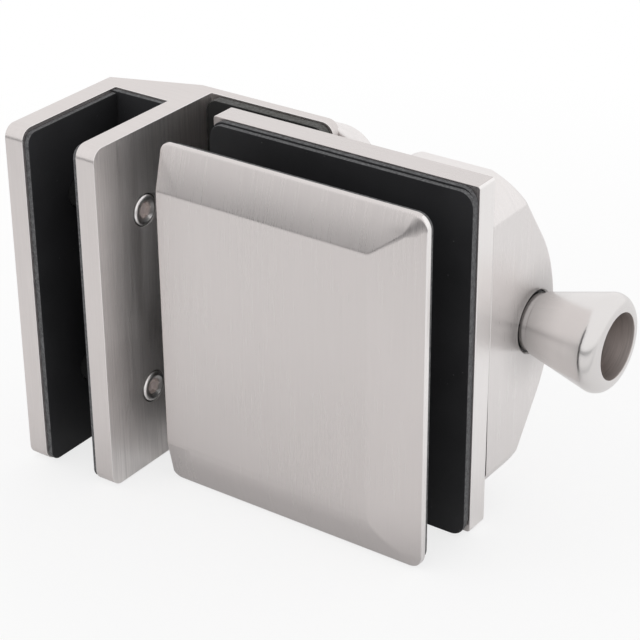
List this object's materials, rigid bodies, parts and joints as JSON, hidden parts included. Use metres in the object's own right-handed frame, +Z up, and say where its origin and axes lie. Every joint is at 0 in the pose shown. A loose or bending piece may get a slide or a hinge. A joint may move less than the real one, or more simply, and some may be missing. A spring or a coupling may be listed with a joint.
{
  "type": "self-locking door latch",
  "caption": "Corner glass gate latch: a clamp with rubber pads and a sprung bolt pulled by a conical knob, and a U-shaped keeper whose arm and flared ramp catch the bolt.",
  "frame": {"origin": "middle of the rubber face on the back plate that carries the gate glass", "axes": "+X along the gate from the keeper towards the knob, +Y from the front plate through the gate glass to the housing, +Z up"},
  "size_m": [0.1454, 0.0795, 0.099],
  "materials": {
    "stainless": "satin, brushed along Z",
    "knob_stainless": "fine turned satin",
    "screw_steel": "bright, lightly turned",
    "dark_screw": "dark oxide",
    "bolt_steel": "ground",
    "spring_steel": "drawn wire",
    "pad_rubber": "matt black with a grey cut edge",
    "bumper_rubber": "matt black",
    "sleeve_plastic": "black nylon",
    "bush_plastic": "black acetal",
    "bush_brass": "turned"
  },
  "bodies": {
    "latch": {"front_plate": "stainless", "front_pad": "pad_rubber", "back_plate": "stainless", "back_pad": "pad_rubber", "back_pad_liner": "pad_rubber", "clamp_screws": "screw_steel", "clamp_sleeves": "sleeve_plastic", "housing": "stainless", "housing_screws": "screw_steel", "nose_bush": "bush_brass", "nose_screw": "screw_steel", "spindle_bush": "bush_plastic", "thrust_washer": "screw_steel", "bolt_spring": "spring_steel"},
    "bolt": {"latch_bolt": "bolt_steel", "spindle": "bolt_steel", "spindle_pin": "screw_steel", "knob": "knob_stainless", "knob_screw": "dark_screw"},
    "keeper": {"keeper_bracket": "stainless", "keeper_pad_outer": "pad_rubber", "keeper_pad_base": "pad_rubber", "keeper_pad_inner": "pad_rubber", "bumper_pad": "bumper_rubber", "keeper_screws": "screw_steel", "keeper_sleeves": "sleeve_plastic"}
  },
  "joints": [
    {"name": "bolt_slide", "type": "slide", "parent": "latch", "child": "bolt", "axis": [1, 0, 0], "range_m": [0, 0.0135], "stiffness_N_per_m": 800, "springref_m": -0.008, "deforming": ["bolt_spring"]},
    {"name": "gate_play", "type": "slide", "parent": "latch", "child": "keeper", "axis": [0, 1, 0], "range_m": [-0.0018, 0.0006]}
  ]
}
